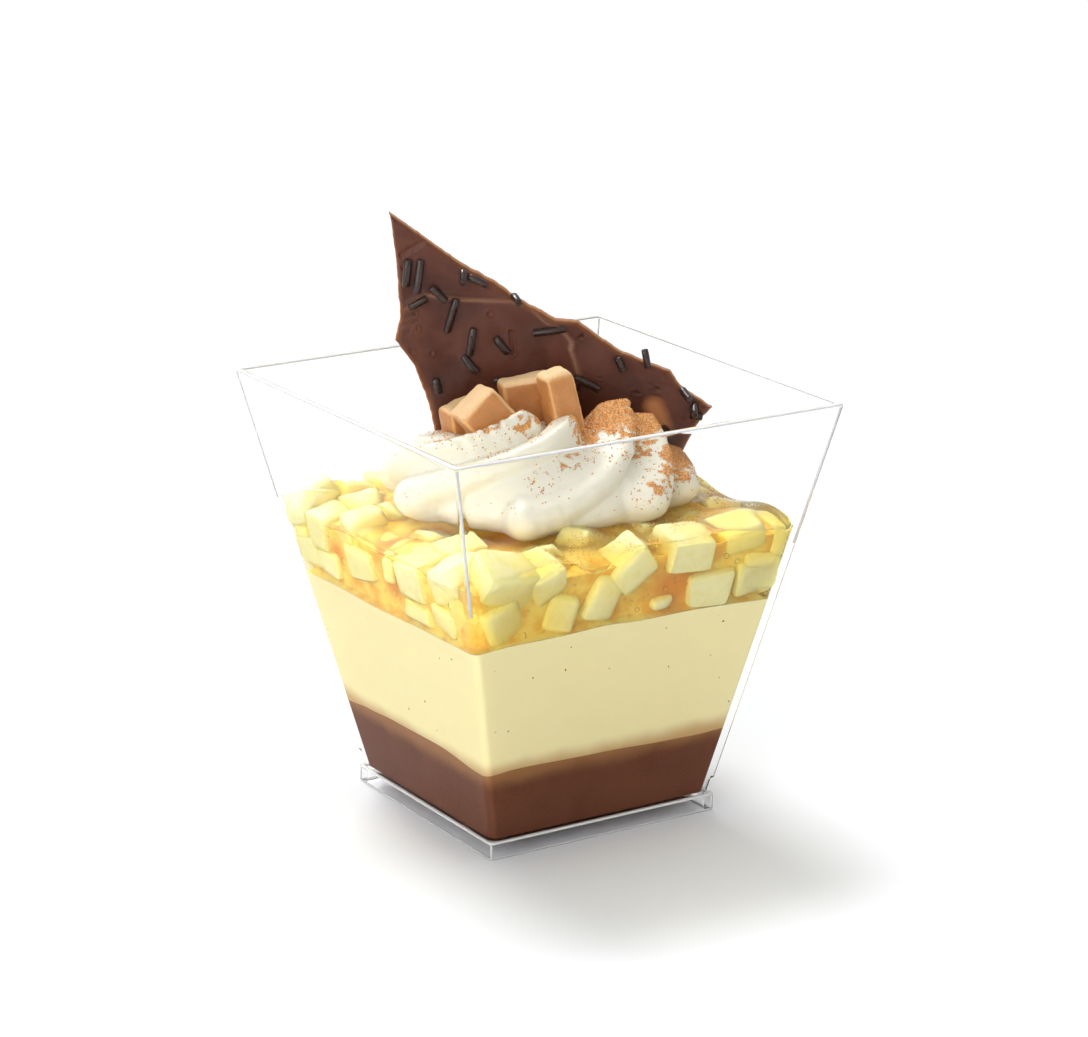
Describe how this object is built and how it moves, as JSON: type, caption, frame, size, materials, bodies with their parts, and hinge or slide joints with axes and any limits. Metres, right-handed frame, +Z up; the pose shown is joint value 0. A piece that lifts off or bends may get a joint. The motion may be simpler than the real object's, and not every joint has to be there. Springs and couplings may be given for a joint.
{
  "type": "layered fruit and custard dessert in a tumbler",
  "caption": "Layered dessert in a clear square tumbler: chocolate, vanilla custard, diced fruit in jelly, piped cream, toffee cubes and a chocolate shard.",
  "frame": {"origin": "centre of the square foot, on the surface that the tumbler stands on", "axes": "+Z up the tumbler; +X and +Y square to its walls; the shard stands behind the cream, facing the corner at -X -Y"},
  "size_m": [0.0734, 0.0734, 0.0983],
  "materials": {
    "clear_plastic": "clear, glossy",
    "set_chocolate": "smooth set chocolate cream",
    "custard": "smooth vanilla custard with fine dark specks",
    "fruit_jelly": "pale fruit dice in glossy golden jelly",
    "cream": "soft satin whipped cream",
    "toffee": "waxy toffee, paler at its edges",
    "shard_chocolate": "satin poured milk chocolate"
  },
  "bodies": {
    "root": {"cup": "clear_plastic", "chocolate_layer": "set_chocolate", "custard_layer": "custard", "fruit_in_jelly": "fruit_jelly", "whipped_cream": "cream", "toffee_1": "toffee", "toffee_2": "toffee", "toffee_3": "toffee", "toffee_4": "toffee", "chocolate_shard": "shard_chocolate"}
  },
  "joints": []
}
